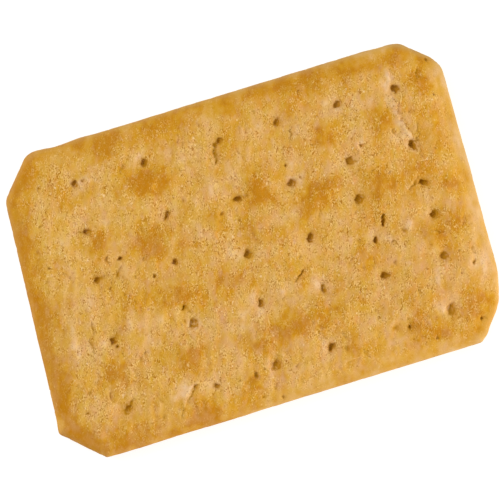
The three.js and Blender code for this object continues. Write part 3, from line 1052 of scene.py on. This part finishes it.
# The tints in the order in which they lie over each other, with the strength of each
tints = (
    (pink * 0.24, ROSY),
    (pink * -0.24, OLIVE_YELLOW),
    (warm * 0.16, ORANGE),
    (warm * -0.16, STRAW),
    (khaki * 0.1, KHAKI),
    (khaki * -0.1, HONEY),
    (fine * 0.8, CREAM_GRAIN),
    (fine * -0.53, BROWN_GRAIN),
    (flour * 0.6, FLOUR_SPECK),
    (bran * 0.3, BRAN_SPECK),
    (rosy_flour * 0.25, ROSY_SPECK),
    # Painted shade on the very edge where it turns down, greyer to the east and north
    (kept("edge") * (east * 0.12 + north * 0.1 + 0.3), EDGE_SHADE_GREY),
    # Painted shade in the gaps between the cut side's layers; the lumps of the layers are paler crumb
    (kept("layer") * -0.7, LAYER_GAP_SHADE),
    (kept("layer") * 0.4, LAYER_CRUMB),
    # Painted shade in the pores, tears and funnels round the holes, darker with their depth
    (kept("dent").ramped(0.04, 0.5) * 0.7, DENT_SHADE),
    # Steep faces, such as the walls of holes and tears, are darkened: painted shade, together with their
    # darker torn crumb
    (kept("steep") * 0.3, STEEP_SHADE_BROWN),
    # Darker the deeper a point lies below the face, mostly in the holes: painted shade, over the browner
    # crumb of the holes
    (hole.ramped(0.1, 0.6) * 0.85, HOLE_SHADE_BROWN),
)
for amount, tint in tints:
    colour = blend(amount, colour, tint)

bump = start.node(
    "ShaderNodeBump",
    inputs={"Strength": 0.5, "Distance": 0.1 * MM, "Height": fine * 0.1},
)
surface = start.node(
    "ShaderNodeBsdfPrincipled",
    inputs={"Base Color": colour, "Roughness": 0.75, "Normal": bump, "Specular IOR Level": 0.03},
)
start.node("ShaderNodeOutputMaterial", inputs={"Surface": surface}, output=None)
cracker.data.materials.clear()
cracker.data.materials.append(crust)

# The object's origin is the middle of the sheet's box, a little off the point from which it was measured
SHEET_MIDDLE = (0.07, -0.07)
bpy.ops.object.mode_set(mode="EDIT")
bpy.ops.mesh.select_all(action="SELECT")
bpy.ops.transform.translate(value=(-SHEET_MIDDLE[0] * MM, -SHEET_MIDDLE[1] * MM, 0))
bpy.ops.object.mode_set(mode="OBJECT")
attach(cracker, "root")
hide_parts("cracker")


# The light table
# A white glass table that glows a little from below, so that shadows on it stay faint.
# Soft white walls light the room evenly. A soft lamp stands at the upper left, and a low one on the right
# lights only what faces it.

# The room's sizes are in metres, and the table's drop below the cracker in millimetres
TABLE_SIZE = 3
TABLE_DROP = 0.05
TABLE_GREY = (0.4, 0.4, 0.4, 1)
TABLE_GLOW = 0.72
WHITE = (1, 1, 1, 1)
WALL_LIGHT = 0.7
PHOTO_TURN = math.radians(17.05)
LAMP_AWAY = 0.6
# Each lamp: its direction in the photo and its height over the table in degrees, its size and power
LAMPS = (
    (155, 45, 0.25, 1.3),
    (-15, 10, 0.2, 2.5),
)

bpy.ops.object.select_all(action="DESELECT")
bpy.ops.mesh.primitive_plane_add(size=TABLE_SIZE, location=(0, 0, -TABLE_DROP * MM))
table = bpy.context.object
table.name = "table"
glass = bpy.data.materials.new("white_table")
glass.use_nodes = True
glass_surface = glass.node_tree.nodes["Principled BSDF"]
glass_surface.inputs["Base Color"].default_value = TABLE_GREY
glass_surface.inputs["Roughness"].default_value = 0.9
glass_surface.inputs["Emission Color"].default_value = WHITE
glass_surface.inputs["Emission Strength"].default_value = TABLE_GLOW
table.data.materials.append(glass)

walls = bpy.data.worlds.new("white_walls")
walls.use_nodes = True
walls.node_tree.nodes["Background"].inputs["Color"].default_value = WHITE
walls.node_tree.nodes["Background"].inputs["Strength"].default_value = WALL_LIGHT
bpy.context.scene.world = walls

for aside, above, size, power in LAMPS:
    turn = math.radians(aside) - PHOTO_TURN
    height = math.radians(above)
    bpy.ops.object.light_add(
        type="AREA",
        location=(
            LAMP_AWAY * math.cos(height) * math.cos(turn),
            LAMP_AWAY * math.cos(height) * math.sin(turn),
            LAMP_AWAY * math.sin(height),
        ),
    )
    lamp = bpy.context.object
    lamp.data.size = size
    lamp.data.energy = power
    lamp.rotation_euler = lamp.location.to_track_quat("Z", "Y").to_euler()


# The camera
# It hangs straight over the cracker, turned so that the long side rises to the right.
# It stands far off with a long lens, so that the sides of the cracker hardly show.

VIEW_WIDTH = 79.15 * MM
VIEW_MIDDLE = (-0.105 * MM, -0.01 * MM)
LENS = 300.0
# The height at which the cracker is widest, where the view width is measured
WIDEST_AT = 1.8 * MM

bpy.ops.object.camera_add(rotation=(0, 0, -PHOTO_TURN))
camera = bpy.context.object
camera.data.lens = LENS
camera.location = (
    *VIEW_MIDDLE,
    WIDEST_AT + VIEW_WIDTH * LENS / camera.data.sensor_width,
)
camera.data.clip_start = 0.01
camera.data.clip_end = 10
bpy.context.scene.camera = camera
bpy.context.scene.view_settings.view_transform = "Standard"
